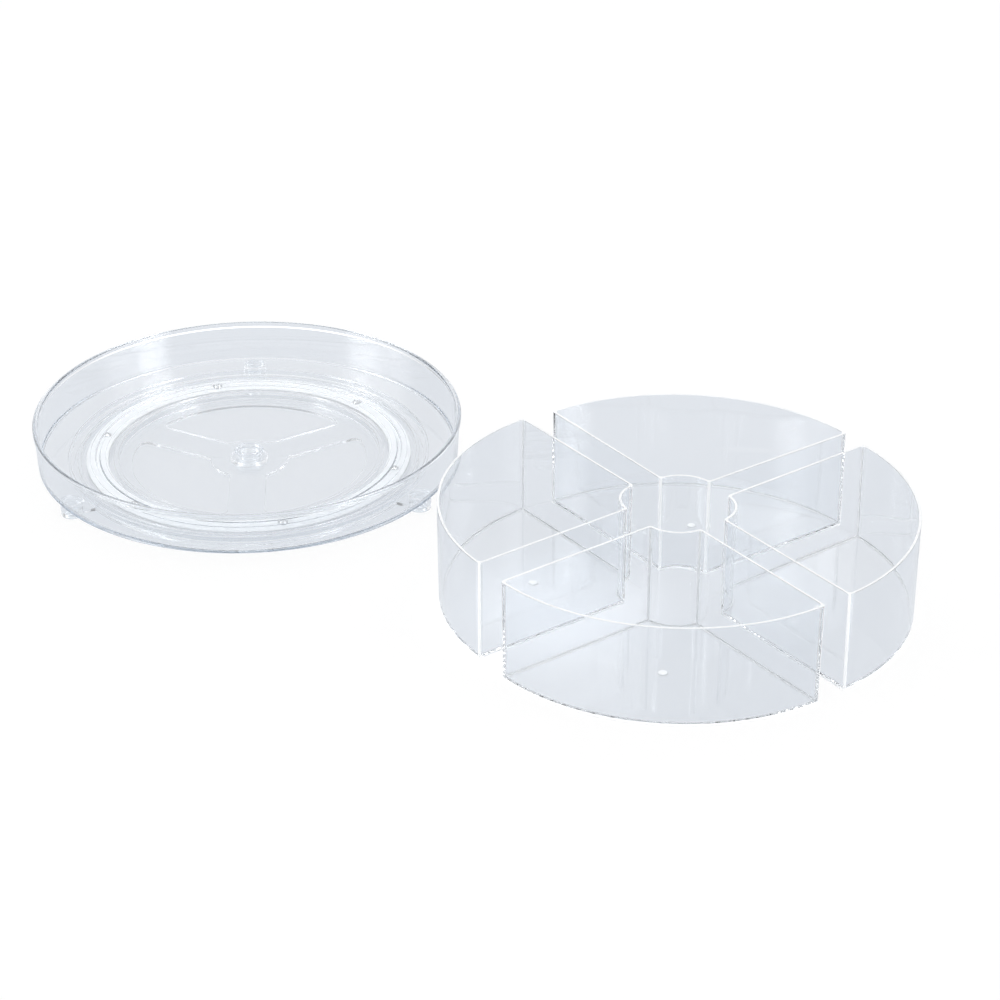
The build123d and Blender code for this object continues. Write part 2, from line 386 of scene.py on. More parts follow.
@dataclass(frozen=True)
class LightPatch:
    """A soft-edged patch of light far off in the room.

    The azimuth is measured from +X towards +Y, and low and high are the sines of the patch's elevations.
    """

    strength: float
    azimuth: float
    half_width: float
    edge: float
    low: float
    high: float
    fade: float = 0.08

    def light(self, shader: Shader, across: Signal, depth: Signal, up: Signal) -> Signal:
        """Adds the patch's light.

        Args:
            shader: The world's shader.
            across: X of the direction that is looked in.
            depth: Y of that direction.
            up: Z of that direction.

        Returns:
            The patch's light in that direction.
        """
        cosine, sine = math.cos(math.radians(self.azimuth)), math.sin(math.radians(self.azimuth))
        ahead = shader.add("Math", depth, sine, operation="MULTIPLY")
        ahead = shader.add("Math", across, cosine, ahead, operation="MULTIPLY_ADD")
        aside = shader.add("Math", depth, cosine, operation="MULTIPLY")
        aside = shader.add("Math", across, -sine, aside, operation="MULTIPLY_ADD")
        off = shader.add("Math", aside, ahead, operation="ARCTAN2")
        off = shader.add("Math", off, operation="ABSOLUTE")
        width, edge = math.radians(self.half_width), math.radians(self.edge)
        inside = shader.add("MapRange", off, width + edge, width - edge, **SMOOTH)
        above = shader.add("MapRange", up, self.low - self.fade, self.low + self.fade, **SMOOTH)
        below = shader.add("MapRange", up, self.high + self.fade, self.high - self.fade, **SMOOTH)
        between = shader.add("Math", above, below, operation="MULTIPLY")
        mask = shader.add("Math", inside, between, operation="MULTIPLY")
        return shader.add("Math", mask, self.strength, operation="MULTIPLY")


@dataclass
class Studio:
    """A white sweep and the light round it: a pale room with two softboxes in front, one to each side.

    The sweep's sizes are in metres. It is pale grey to what looks through the plastic, and its glow carries
    a painted pool of light, a little brighter under the front bin, that no lamp casts.
    """

    middle: Vector
    sweep_radius: float = 6.0
    sweep_corners: int = 96
    sweep_height: float = -0.0002
    sweep_share: float = 0.9
    sweep_colour: str = "#E8E8E8"
    sweep_through_plastic: str = "#E2E6EC"
    # A painted pool of light: the sweep's glow is brighter in a round patch under the front bin, which no
    # lamp casts
    painted_light_pool: tuple[float, float, float] = (0.062, -0.108, 0.0)
    painted_pool_radius: float = 0.1
    painted_pool_share: float = 0.28
    patches: tuple[LightPatch, ...] = (
        # The walls behind, in front and on the left
        LightPatch(0.95, 72, 62, 20, -1.0, 0.58),
        LightPatch(1.0, -90, 85, 25, 0.2, 0.58),
        LightPatch(0.5, 175, 40, 20, 0.2, 0.58),
        # All round below them, and all round above
        LightPatch(0.75, 0, 181, 0.5, -1.0, 0.2),
        LightPatch(1.15, 0, 181, 0.5, 0.58, 1.1),
        # The softbox on the right and its glow, then the one on the left
        LightPatch(5.0, -33, 8, 5, 0.2, 0.6),
        LightPatch(2.4, -20, 16, 10, 0.2, 0.6),
        LightPatch(3.6, -154, 8, 6, 0.2, 0.6),
        LightPatch(2.0, -168, 18, 10, 0.2, 0.6),
    )

    def build(self) -> None:
        """Adds the sweep and the room."""
        self.add_sweep()
        self.add_room()

    def add_sweep(self) -> None:
        """Adds the floor, white to the eye and pale grey to what looks through or off the plastic, with a
        painted pool of light in its glow under the front bin.
        """
        spot = (self.middle.x, self.middle.y, self.sweep_height)
        floor = circle("sweep", self.sweep_corners, self.sweep_radius, spot, "NGON")
        material, shader = new_material("white_paper_sweep")
        paper = shader.add("BsdfDiffuse", linear(self.sweep_colour))
        rays = shader.add("LightPath").outputs
        camera_ray, grey = rays["Is Camera Ray"], linear(self.sweep_through_plastic)
        tint = shader.add("Mix", camera_ray, data_type="RGBA", A_Color=grey, B_Color=WHITE)
        here = shader.add("TexCoord").outputs["Object"]
        # Painted pool of light: the glow's strength rises towards this spot, so the floor seen through the
        # front bin is lighter
        away = shader.add("VectorMath", here, self.painted_light_pool, operation="DISTANCE").outputs["Value"]
        painted_pool_mask = shader.add("MapRange", away, self.painted_pool_radius, 0.0, **SMOOTH)
        painted_light_pool = shader.add("Math", painted_pool_mask, self.painted_pool_share, 1.0, operation="MULTIPLY_ADD")
        glow = shader.add("Emission", tint.outputs[COLOUR_OUTPUT], painted_light_pool)
        seen = shader.add("Math", camera_ray, rays["Is Glossy Ray"], operation="MAXIMUM")
        seen = shader.add("Math", seen, rays["Is Transmission Ray"], operation="MAXIMUM")
        share = shader.add("Math", seen, self.sweep_share, operation="MULTIPLY")
        shader.surface(shader.add("MixShader", share, paper, glow))
        floor.data.materials.append(material)

    def add_room(self) -> None:
        """Adds the world: the light patches, and plain white where the camera looks past the sweep."""
        world = bpy.data.worlds.new("studio")
        bpy.context.scene.world = world
        world.use_nodes = True
        shader = Shader(world.node_tree)
        way = shader.add("TexCoord").outputs["Generated"]
        across, depth, up = shader.add("SeparateXYZ", way).outputs
        total: object = 0.0
        for patch in self.patches:
            total = shader.add("Math", total, patch.light(shader, across, depth, up), operation="ADD")
        camera_ray = shader.add("LightPath").outputs["Is Camera Ray"]
        light = shader.add("Mix", camera_ray, data_type="FLOAT", A_Float=total, B_Float=1.0)
        shader.add("OutputWorld", shader.add("Background", WHITE, light))


def arc(across: float, up: float, radius: float, start: float, end: float, steps: int) -> Points:
    """Lists the points of a round from its start to its end.

    Args:
        across: The round's middle, as a distance from the axis.
        up: The height of its middle.
        radius: Its radius.
        start: Where it starts, in degrees up from straight out.
        end: Where it ends.
        steps: How many points come after the first.

    Returns:
        Each point's distance from the axis and height.
    """
    angles = [math.radians(start + (end - start) * i / steps) for i in range(steps + 1)]
    return [(across + radius * math.cos(a), up + radius * math.sin(a)) for a in angles]


def corner(
    across: float, up: float, radius: float, start: float, end: float, steps: int = EDGE_STEPS
) -> Points:
    """Lists the points of a quarter round in place of a square corner.

    Args:
        across: The square corner's distance from the axis.
        up: Its height.
        radius: The round's radius.
        start: Where the round starts, in degrees up from straight out.
        end: Where it ends.
        steps: How many points come after the first.

    Returns:
        Each point's distance from the axis and height.
    """
    start_turn, end_turn = math.radians(start), math.radians(end)
    out = round(math.cos(start_turn) + math.cos(end_turn))
    above = round(math.sin(start_turn) + math.sin(end_turn))
    return arc(across - out * radius, up - above * radius, radius, start, end, steps)


def select_only(piece: bpy.types.Object) -> None:
    """Selects one piece and makes it the active one.

    Args:
        piece: The piece.
    """
    bpy.ops.object.select_all(action="DESELECT")
    piece.select_set(True)
    bpy.context.view_layer.objects.active = piece


def circle(
    name: str, corners: int, radius: float, spot: tuple[float, float, float], fill: str = "NOTHING"
) -> bpy.types.Object:
    """Adds a level circle as a new piece, with its place in its mesh.

    Args:
        name: The piece's name.
        corners: How many corners it has.
        radius: Its radius, in metres.
        spot: Its middle, in metres.
        fill: How it is filled.

    Returns:
        The piece.
    """
    bpy.ops.object.select_all(action="DESELECT")
    bpy.ops.mesh.primitive_circle_add(vertices=corners, radius=radius, fill_type=fill, location=spot)
    piece = bpy.context.object
    piece.name = name
    bpy.ops.object.transform_apply(location=True)
    return piece


def closed(piece: bpy.types.Object, capped: bool = True) -> bpy.types.Object:
    """Closes the piece that is in edit mode, turns its faces outwards and leaves edit mode.

    Args:
        piece: The piece.
        capped: Whether the first and last rings are filled. Otherwise they are one ring, and are merged.

    Returns:
        The piece.
    """
    bpy.ops.mesh.select_all(action="SELECT")
    if capped:
        bpy.ops.mesh.fill_holes(sides=0)
    bpy.ops.mesh.remove_doubles(threshold=MERGED_WITHIN * MM)
    bpy.ops.mesh.select_all(action="SELECT")
    bpy.ops.mesh.normals_make_consistent(inside=False)
    bpy.ops.object.mode_set(mode="OBJECT")
    return piece


class Loft:
    """A piece that is drawn through rings with the same number of corners, one after the other."""

    def __init__(self, name: str, corners: int) -> None:
        """Starts a piece as a bare ring, in edit mode, with its corners numbered.

        Args:
            name: The piece's name.
            corners: How many corners each ring has.
        """
        self.piece = circle(name, corners, 1.0, (0.0, 0.0, 0.0))
        self.started = False
        bpy.ops.object.mode_set(mode="EDIT")
        bpy.ops.mesh.select_mode(type="EDGE")
        mesh = bmesh.from_edit_mesh(self.piece.data)
        station = mesh.verts.layers.int.new("station")
        for vert in mesh.verts:
            vert[station] = vert.index
        bmesh.update_edit_mesh(self.piece.data)

    def ring(self, points: Points, height: float) -> None:
        """Extrudes the next ring out of the last one and shapes it.

        Args:
            points: The ring's points.
            height: Its height.
        """
        if self.started:
            bpy.ops.mesh.extrude_region_move()
        self.started = True
        mesh = bmesh.from_edit_mesh(self.piece.data)
        station = mesh.verts.layers.int["station"]
        for vert in mesh.verts:
            if vert.select:
                x, y = points[vert[station]]
                vert.co = (x * MM, y * MM, height * MM)
        bmesh.update_edit_mesh(self.piece.data)

    def close(self) -> bpy.types.Object:
        """Closes the piece over its first and last rings, and leaves edit mode."""
        return closed(self.piece)


def turned(name: str, profile: Points, corners: int, capped: bool = True) -> bpy.types.Object:
    """Turns a profile about the origin's upright axis: a circle, extruded and scaled ring by ring.

    Args:
        name: The piece's name.
        profile: Each ring's radius and height.
        corners: How many corners a ring has.
        capped: Whether the first and last rings are filled. Otherwise the profile is a closed one.

    Returns:
        The piece.
    """
    radius, height = profile[0]
    piece = circle(name, corners, radius * MM, (0.0, 0.0, height * MM))
    bpy.ops.object.mode_set(mode="EDIT")
    bpy.ops.mesh.select_mode(type="EDGE")
    bpy.ops.mesh.select_all(action="SELECT")
    for next_radius, next_height in profile[1:]:
        rise = {"value": (0.0, 0.0, (next_height - height) * MM)}
        bpy.ops.mesh.extrude_region_move(TRANSFORM_OT_translate=rise)
        share = next_radius / radius
        bpy.ops.transform.resize(value=(share, share, 1.0), center_override=(0.0, 0.0, 0.0))
        radius, height = next_radius, next_height
    return closed(piece, capped)


def place(piece: bpy.types.Object, x: float, y: float, turn: float = 0.0) -> bpy.types.Object:
    """Turns a piece about the origin, moves it to its place and puts both into its mesh.

    Args:
        piece: The piece.
        x: How far it moves along X.
        y: How far it moves along Y.
        turn: How far it turns.

    Returns:
        The piece.
    """
    select_only(piece)
    piece.rotation_euler = (0.0, 0.0, math.radians(turn))
    piece.location = (x * MM, y * MM, 0.0)
    bpy.ops.object.transform_apply(location=True, rotation=True)
    return piece


def combine(piece: bpy.types.Object, tool: bpy.types.Object, join: Join) -> None:
    """Cuts a shape out of a piece or joins it on, and takes the shape away.

    Args:
        piece: The piece.
        tool: The shape.
        join: What it does.
    """
    select_only(piece)
    work = piece.modifiers.new("work", "BOOLEAN")
    work.object = tool
    work.operation = join.value
    work.solver = "EXACT"
    bpy.ops.object.modifier_apply(modifier=work.name)
    bpy.data.objects.remove(tool)


def copy_of(piece: bpy.types.Object, name: str) -> bpy.types.Object:
    """Copies a piece with its own mesh.

    Args:
        piece: The piece.
        name: The copy's name.

    Returns:
        The copy.
    """
    select_only(piece)
    bpy.ops.object.duplicate(linked=False)
    copy = bpy.context.object
    copy.name = name
    return copy


def dress_piece(
    piece: bpy.types.Object, finish: bpy.types.Material, body: str, node: str
) -> None:
    """Smooths a piece's shading, gives it its finish and its body, and hides the frame's node that it stands
    for.

    Args:
        piece: The piece.
        finish: The material.
        body: The body that it rides on.
        node: The frame's node that it stands for.
    """
    select_only(piece)
    bpy.ops.object.shade_smooth_by_angle(angle=math.radians(SHARP_FROM))
    flat = piece.modifiers.new("flat_faces_stay_flat", "WEIGHTED_NORMAL")
    flat.keep_sharp = True
    bpy.ops.object.modifier_apply(modifier=flat.name)
    piece.data.materials.append(finish)
    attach(piece, body)
    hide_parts(node)
    faces = len(piece.data.polygons)
    log.info("%s: %d faces, rides on %s, has %s", piece.name, faces, body, finish.name)


def dress_node(node: str, finish: bpy.types.Material) -> None:
    """Gives one of the frame's own nodes its finish.

    Args:
        node: The node's name.
        finish: The material.
    """
    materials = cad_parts[node].data.materials
    materials.clear()
    materials.append(finish)
    log.info("%s has %s", node, finish.name)


@dataclass
class Tray:
    """The tray with its leaning wall, and the race, skirt and spigot below, with the rivet in the spigot."""

    axis: Vector
    corners: int = 576
    radius: float = 150.0
    rim_width: float = 3.2
    rim_height: float = 3.6
    lip: float = 0.9
    lean: float = 1.5
    wall: float = 2.0
    under: float = 10.79
    thickness: float = 2.2
    depth: float = 28.0
    inner_round: float = 2.4
    outer_round: float = 1.2
    race_circle: float = 106.2
    race_width: float = 11.0
    race_drop: float = 0.6
    groove: float = 3.6
    skirt_outer: float = 127.0
    skirt_wall: float = 1.8
    skirt_foot: float = 7.0
    spigot: float = 8.9
    spigot_root: float = 1.6
    spigot_end: float = 2.75
    bore: float = 5.0
    bore_top: float = 8.35
    edge: float = 0.25
    rivet_corners: int = 96
    rivet_head: float = 12.68
    rivet_foot: float = 1.65
    rivet_top: float = 7.9
    rivet_shank: float = 4.93
    rivet_round: float = 0.4
    rivet_clearance: float = 0.05
    rivet_dish: float = 8.6
    rivet_dish_depth: float = 0.15

    def build(self) -> None:
        """Turns the tray and its rivet."""
        self.tray = turned("tray_moulding", self.inside() + self.outside() + self.below(), self.corners)
        self.rivet = turned("pivot_rivet_moulding", self.rivet_profile(), self.rivet_corners)
        for piece in (self.tray, self.rivet):
            place(piece, self.axis.x / MM, self.axis.y / MM)

    def dress(self, tray_finish: bpy.types.Material, rivet_finish: bpy.types.Material) -> None:
        """Finishes both pieces.

        Args:
            tray_finish: The tray's material.
            rivet_finish: The rivet's material.
        """
        dress_piece(self.tray, tray_finish, "tray", "tray")
        dress_piece(self.rivet, rivet_finish, "tray", "pivot_rivet")

    def side(self, foot: float, top: float, turn: float) -> tuple[float, float, float]:
        """Works out how a side of the wall leans out, up to the foot of the bead.

        Args:
            foot: The height that the side starts from.
            top: Its radius at its upper end.
            turn: The radius of the round at its foot.

        Returns:
            How far out that round has its middle, how far the side leans in degrees, and where it ends.
        """
        end = self.under + self.thickness + self.depth - self.rim_height - self.lip
        slope = self.lean / (end - foot)
        middle = top - self.lean + slope * turn - turn * math.hypot(1, slope)
        return middle, math.degrees(math.atan(slope)), end

    def inside(self) -> Points:
        """Lists the rings from the floor up to the bead's inner side.

        Returns:
            Each ring's radius and height.
        """
        floor, turn = self.under + self.thickness, self.inner_round
        top = self.radius - self.lip - self.wall
        middle, lean, end = self.side(floor, top, turn)
        return [
            *arc(middle, floor + turn, turn, -90, -lean, CURVE_STEPS),
            (top, end),
            (self.radius - self.rim_width, end + self.lip),
        ]

    def outside(self) -> Points:
        """Lists the rings over the bead and down the wall.

        Returns:
            Each ring's radius and height.
        """
        turn, bead = self.outer_round, self.rim_width / 2
        top = self.radius - self.lip
        middle, lean, end = self.side(self.under, top, turn)
        bead_middle = end + self.lip + self.rim_height - bead
        return [
            *arc(self.radius - bead, bead_middle, bead, 180, 0, BEAD_STEPS),
            (self.radius, end + self.lip),
            (top, end),
            *arc(middle, self.under + turn, turn, -lean, -90, ROUND_STEPS),
        ]

    def below(self) -> Points:
        """Lists the rings under the floor, from the skirt in to the spigot's bore.

        Returns:
            Each ring's radius and height.
        """
        e, foot, race = self.edge, self.skirt_foot, self.under - self.race_drop
        skirt_inner = self.skirt_outer - self.skirt_wall
        outer, inner = self.race_circle + self.race_width / 2, self.race_circle - self.race_width / 2
        middle = self.under - self.groove
        half = math.degrees(math.acos((race - middle) / self.groove))
        return [
            (self.skirt_outer, self.under),
            *corner(self.skirt_outer, foot, e, 0, -90),
            *corner(skirt_inner, foot, e, -90, -180),
            (skirt_inner, self.under),
            (outer, self.under),
            *corner(outer, race, e, 0, -90),
            *arc(self.race_circle, middle, self.groove, 90 - half, 90 + half, GROOVE_STEPS),
            *corner(inner, race, e, -90, -180),
            (inner, self.under),
            *corner(self.spigot, self.under, self.spigot_root, 90, 180, ROUND_STEPS),
            *corner(self.spigot, self.spigot_end, e, 0, -90),
            *corner(self.bore, self.spigot_end, e, -90, -180),
            (self.bore, self.bore_top),
        ]

    def rivet_profile(self) -> Points:
        """Lists the rivet's rings, a hair clear of the spigot, so that light crosses each face once.

        Returns:
            Each ring's radius and height.
        """
        foot, top, r = self.rivet_foot, self.rivet_top, self.rivet_round
        head_top = self.spigot_end - self.rivet_clearance
        return [
            (self.rivet_dish - self.rivet_dish_depth, foot + self.rivet_dish_depth),
            (self.rivet_dish, foot),
            *corner(self.rivet_head, foot, r, -90, 0, HEAD_STEPS),
            *corner(self.rivet_head, head_top, r / 2, 0, 90),
            (self.rivet_shank, head_top),
            *corner(self.rivet_shank, top, r, 0, 90, TIP_STEPS),
        ]


@dataclass(frozen=True)
class Sector:
    """An outline between two arcs and two straight sides, with rounded corners.

    It lies about the origin and faces +X, and its sides keep off the middle of the gaps beside it.
    """

    outer: float
    inner: float
    half_angle: float
    off: float
    outer_corner: float
    inner_corner: float
    arc_steps: int = 288
    notch_steps: int = 72
    corner_steps: int = 8

    def shrunk(self, by: float) -> "Sector":
        """Makes the outline that lies inside this one, with its corners turned about the same middles.

        Args:
            by: How far inside it lies.

        Returns:
            The smaller outline.
        """
        return replace(
            self,
            outer=self.outer - by,
            inner=self.inner + by,
            off=self.off + by,
            outer_corner=self.outer_corner - by,
            inner_corner=self.inner_corner - by,
        )

    def corner_middle(self, reach: float, corner: float) -> tuple[float, float]:
        """Works out where a corner's round has its middle.

        Args:
            reach: How far from the origin the middle is.
            corner: The round's radius.

        Returns:
            The middle's X and Y.
        """
        turn, aside = math.radians(self.half_angle), self.off + corner
        along = math.sqrt(reach**2 - aside**2)
        x = along * math.cos(turn) + aside * math.sin(turn)
        y = along * math.sin(turn) - aside * math.cos(turn)
        return x, y

    def points(self) -> Points:
        """Lists the outline once round, from the middle of the outer arc.

        Returns:
            Each point's X and Y.
        """
        far = self.corner_middle(self.outer - self.outer_corner, self.outer_corner)
        near = self.corner_middle(self.inner + self.inner_corner, self.inner_corner)
        far_angle, near_angle = (math.degrees(math.atan2(y, x)) for x, y in (far, near))
        side = self.half_angle + 90
        half = (
            arc(0, 0, self.outer, 0, far_angle, self.arc_steps // 2)[:-1]
            + arc(*far, self.outer_corner, far_angle, side, self.corner_steps)
            + arc(*near, self.inner_corner, side, near_angle + 180, self.corner_steps)
            + arc(0, 0, self.inner, near_angle, 0, self.notch_steps // 2)[1:]
        )
        return half + [(x, -y) for x, y in reversed(half[1:-1])]


@dataclass
class Base:
    """The base: a ring with two ribs and a race, windows, a hub, and ears with posts on soft pads."""

    axis: Vector
    corners: int = 384
    turn: float = 31.9
    arms: int = 3
    low: float = 1.5
    top: float = 3.7
    radius: float = 123.6
    outer_rib: tuple[float, float] = (117.9, 120.4)
    inner_rib: tuple[float, float] = (91.7, 95.3)
    rib_top: float = 9.19
    rib_round: float = 0.7
    race_circle: float = 106.2
    race_width: float = 11.0
    race_rise: float = 1.1
    groove: float = 3.6
    groove_depth: float = 0.6
    collar: float = 13.38
    collar_top: float = 6.1
    collar_round: float = 0.8
    bore: float = 8.98
    recess: float = 13.08
    recess_depth: float = 1.4
    edge: float = 0.3
    window: Sector = Sector(82.5, 27.0, 60.0, 12.7, 5.0, 5.0, arc_steps=96, notch_steps=36, corner_steps=10)
    window_flare_steps: int = 4
    ear_root: float = 119.1
    ear_width: float = 15.0
    ear_step: float = 0.03
    post_corners: int = 96
    post_circle: float = 137.8
    post: float = 8.0
    post_top: float = 10.19
    post_round: float = 0.8
    socket: float = 5.1
    socket_top: float = 7.3
    pad: float = 7.4
    pad_top: float = 1.46
    pad_round: float = 0.55
    pad_dish: float = 5.2
    pad_dish_depth: float = 0.35
    stem: float = 4.95
    stem_top: float = 6.06
    stem_round: float = 0.6

    def build(self) -> None:
        """Models the base and its pads."""
        bearings = [self.turn + 360 / self.arms * (i + 0.5) for i in range(self.arms)]
        self.base = turned("base_moulding", self.profile(), self.corners, capped=False)
        window, ear = self.window_shape(), self.ear_with_post()
        pad = place(turned("pad_pattern", self.pad_profile(), self.post_corners), self.post_circle, 0)
        self.pads = []
        for number, bearing in enumerate(bearings, start=1):
            combine(self.base, place(copy_of(window, "window_cut"), 0, 0, bearing), Join.CUT)
            combine(self.base, place(copy_of(ear, "ear_joined"), 0, 0, bearing), Join.ADD)
            self.pads.append(place(copy_of(pad, f"foot_pad_{number}_moulding"), 0, 0, bearing))
        for pattern in (window, ear, pad):
            bpy.data.objects.remove(pattern)
        for piece in (self.base, *self.pads):
            place(piece, self.axis.x / MM, self.axis.y / MM)

    def dress(self, finish: bpy.types.Material, pad_finish: bpy.types.Material) -> None:
        """Finishes the base and its pads.

        Args:
            finish: The base's material.
            pad_finish: The pads' material.
        """
        dress_piece(self.base, finish, "base", "base")
        for number, pad in enumerate(self.pads, start=1):
            dress_piece(pad, pad_finish, "base", f"foot_pad_{number}")

    def rib(self, inner: float, outer: float) -> Points:
        """Lists a rib's rings from its outer side to its inner one.

        Args:
            inner: Its inner radius.
            outer: Its outer radius.

        Returns:
            Each ring's radius and height.
        """
        return [
            (outer, self.top),
            *corner(outer, self.rib_top, self.rib_round, 0, 90, ROUND_STEPS),
            *corner(inner, self.rib_top, self.rib_round, 90, 180, ROUND_STEPS),
            (inner, self.top),
        ]

    def profile(self) -> Points:
        """Lists the round body's rings, from the outer edge over the top and back underneath.

        Returns:
            Each ring's radius and height.
        """
        e, race = self.edge, self.top + self.race_rise
        outer, inner = self.race_circle + self.race_width / 2, self.race_circle - self.race_width / 2
        middle = race - self.groove_depth + self.groove
        half = math.degrees(math.acos((middle - race) / self.groove))
        recess_top = self.low + self.recess_depth
        rings = [
            *corner(self.radius, self.low, e, -90, 0),
            *corner(self.radius, self.top, e, 0, 90),
            *self.rib(*self.outer_rib),
            (outer, self.top),
            *corner(outer, race, e, 0, 90),
            *arc(self.race_circle, middle, self.groove, -90 + half, -90 - half, GROOVE_STEPS),
            *corner(inner, race, e, 90, 180),
            (inner, self.top),
            *self.rib(*self.inner_rib),
            (self.collar, self.top),
            *corner(self.collar, self.collar_top, self.collar_round, 0, 90, ROUND_STEPS),
            *corner(self.bore, self.collar_top, e, 90, 180),
            (self.bore, recess_top),
            (self.recess, recess_top),
            *corner(self.recess, self.low, e, 180, 270),
        ]
        return rings + rings[:1]

    def window_shape(self) -> bpy.types.Object:
        """Models what is cut out for a window, wider at both ends so that its edges come out rounded.

        Returns:
            The shape.
        """
        e, steps = self.edge, self.window_flare_steps
        turns = [math.radians(90 * i / steps) for i in range(steps + 1)]
        lower = [(e - e * math.sin(a), self.low + e - e * math.cos(a)) for a in turns]
        upper = [(by, self.low + self.top - height) for by, height in reversed(lower)]
        loft = Loft("window", len(self.window.points()))
        for by, height in [(e, self.low - CUT_PAST), *lower, *upper, (e, self.top + CUT_PAST)]:
            loft.ring(self.window.shrunk(-by).points(), height)
        return loft.close()

    def ear_with_post(self) -> bpy.types.Object:
        """Models an ear with its post, and the post's socket for a pad.

        Returns:
            The ear, a hair thinner than the ring that it joins.
        """
        half = self.ear_width / 2
        near, far = self.ear_root, self.post_circle
        corners = [(far, -half), (far, half), (near, half), (near, -half)]
        loft = Loft("ear", len(corners))
        loft.ring(corners, self.low + self.ear_step)
        loft.ring(corners, self.top - self.ear_step)
        ear = loft.close()
        top = corner(self.post, self.post_top, self.post_round, 0, 90, ROUND_STEPS)
        post = turned("post", [(self.post, self.low), *top], self.post_corners)
        bore = [(self.socket, self.low - CUT_PAST), (self.socket, self.socket_top)]
        socket = turned("socket", bore, self.post_corners)
        combine(ear, place(post, self.post_circle, 0), Join.ADD)
        combine(ear, place(socket, self.post_circle, 0), Join.CUT)
        return ear

    def pad_profile(self) -> Points:
        """Lists a pad's rings: a head, dished below, and a stem, both a hair clear of the post.

        Returns:
            Each ring's radius and height.
        """
        return [
            (self.pad_dish - self.pad_dish_depth, self.pad_dish_depth),
            (self.pad_dish, 0.0),
            *corner(self.pad, 0.0, self.pad_round, -90, 0, HEAD_STEPS),
            *corner(self.pad, self.pad_top, self.pad_round / 3, 0, 90),
            (self.stem, self.pad_top),
            *corner(self.stem, self.stem_top, self.stem_round, 0, 90, HEAD_STEPS),
        ]


@dataclass
class Bearing:
    """The bearing: a flat white cage and its steel balls, which stay as the frame has them."""

    balls: int = 6

    def dress(self, cage_finish: bpy.types.Material, ball_finish: bpy.types.Material) -> None:
        """Finishes the cage and the balls.

        Args:
            cage_finish: The cage's material.
            ball_finish: The balls' material.
        """
        dress_node("ball_cage", cage_finish)
        for number in range(1, self.balls + 1):
            dress_node(f"ball_{number}", ball_finish)


@dataclass(frozen=True)
class Spot:
    """A bin's spot in the ring: which way it faces, and its nudge and turn from its even place."""

    name: str
    bearing: float
    nudge_x: float
    nudge_y: float
    nudge_turn: float


